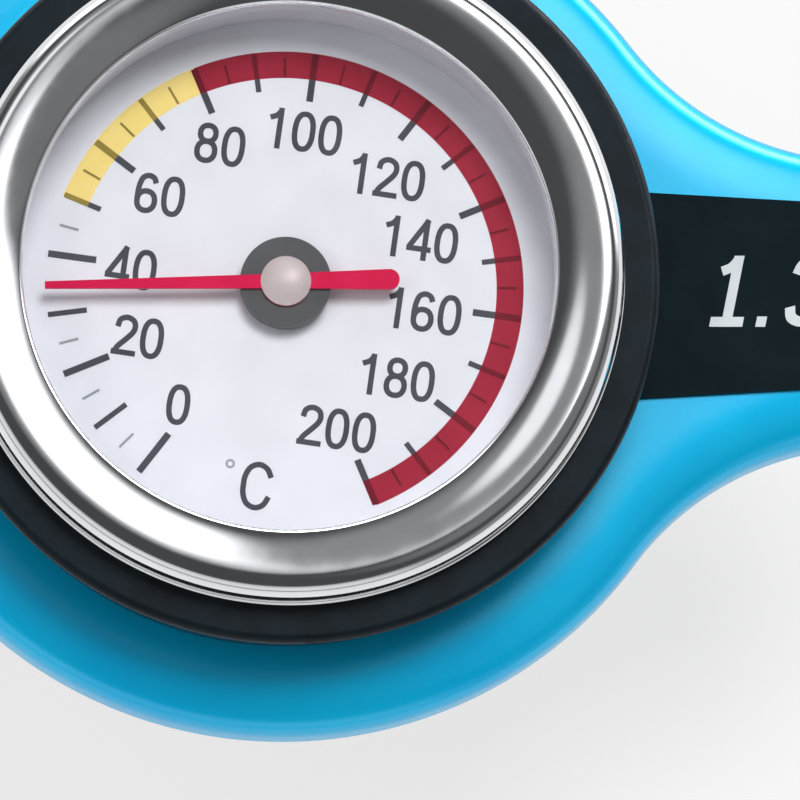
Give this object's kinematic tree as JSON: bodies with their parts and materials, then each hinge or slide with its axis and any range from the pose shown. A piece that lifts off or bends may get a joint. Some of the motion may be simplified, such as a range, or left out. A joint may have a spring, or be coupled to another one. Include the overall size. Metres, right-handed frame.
{
  "type": "radiator cap thermometer",
  "caption": "Blue eared radiator pressure cap with a chrome-rimmed dial thermometer on its crown, a steel bayonet shell and a probe through its sprung valves.",
  "frame": {"origin": "centre of the neck seat, on the plane where the neck gasket's underside meets the filler neck's rim", "axes": "+Z along the cap's axis, up through the dial; +X through the right ear, with the other ear on -X; +Y towards the top of the picture"},
  "size_m": [0.068, 0.0476, 0.0465],
  "materials": {
    "anodised_blue": "bright anodised",
    "label_black": "gloss",
    "plated_steel": "zinc plated",
    "spring_steel": "drawn",
    "boot_rubber": "satin",
    "seal_rubber": "matt",
    "chrome": "polished",
    "lens_glass": "clear",
    "spacer_white": "satin",
    "dial_white": "satin white",
    "needle_red": "satin",
    "hub_grey": "satin",
    "brass": "turned"
  },
  "bodies": {
    "cap": {"cover": "anodised_blue", "right_label": "label_black", "left_label": "label_black", "bayonet_shell": "plated_steel", "gauge_boot": "boot_rubber", "gauge_case": "chrome", "bezel": "chrome", "lens": "lens_glass", "lens_gasket": "seal_rubber", "spacer_ring": "spacer_white", "dial_plate": "dial_white", "bimetal_coil": "spring_steel", "upper_bush": "brass", "lower_bush": "brass", "probe_tube": "plated_steel", "probe_tip": "plated_steel", "gauge_stud": "brass", "centre_post": "brass", "stop_washer": "plated_steel", "retaining_clip": "spring_steel"},
    "pointer": {"needle": "needle_red", "hub_disc": "hub_grey", "hub_boss": "chrome", "pointer_shaft": "spring_steel", "coil_collar": "brass"},
    "valve_head": {"swivel_washer": "brass", "diaphragm_spring": "spring_steel", "neck_gasket": "seal_rubber", "spring_seat": "plated_steel", "pressure_spring": "spring_steel"},
    "pressure_valve": {"valve_plate": "plated_steel", "valve_gasket": "seal_rubber", "vacuum_spring": "spring_steel"},
    "vacuum_valve": {"vacuum_valve": "brass", "vacuum_collar": "brass"}
  },
  "joints": [
    {"name": "pointer_turn", "type": "hinge", "parent": "cap", "child": "pointer", "pos_m": [0, 0, 0.0088], "axis": [0, 0, -1], "range_deg": [-51, 249], "stiffness_Nm_per_rad": 0.000002, "deforming": ["bimetal_coil"]},
    {"name": "valve_swivel", "type": "hinge", "parent": "cap", "child": "valve_head", "pos_m": [0, 0, 0], "axis": [0, 0, 1], "continuous": true},
    {"name": "pressure_lift", "type": "slide", "parent": "valve_head", "child": "pressure_valve", "axis": [0, 0, 1], "range_m": [0, 0.0025], "stiffness_N_per_m": 4700, "deforming": ["pressure_spring"]},
    {"name": "vacuum_open", "type": "slide", "parent": "pressure_valve", "child": "vacuum_valve", "axis": [0, 0, -1], "range_m": [0, 0.0018], "stiffness_N_per_m": 217, "springref_m": -0.001, "deforming": ["vacuum_spring"]}
  ]
}
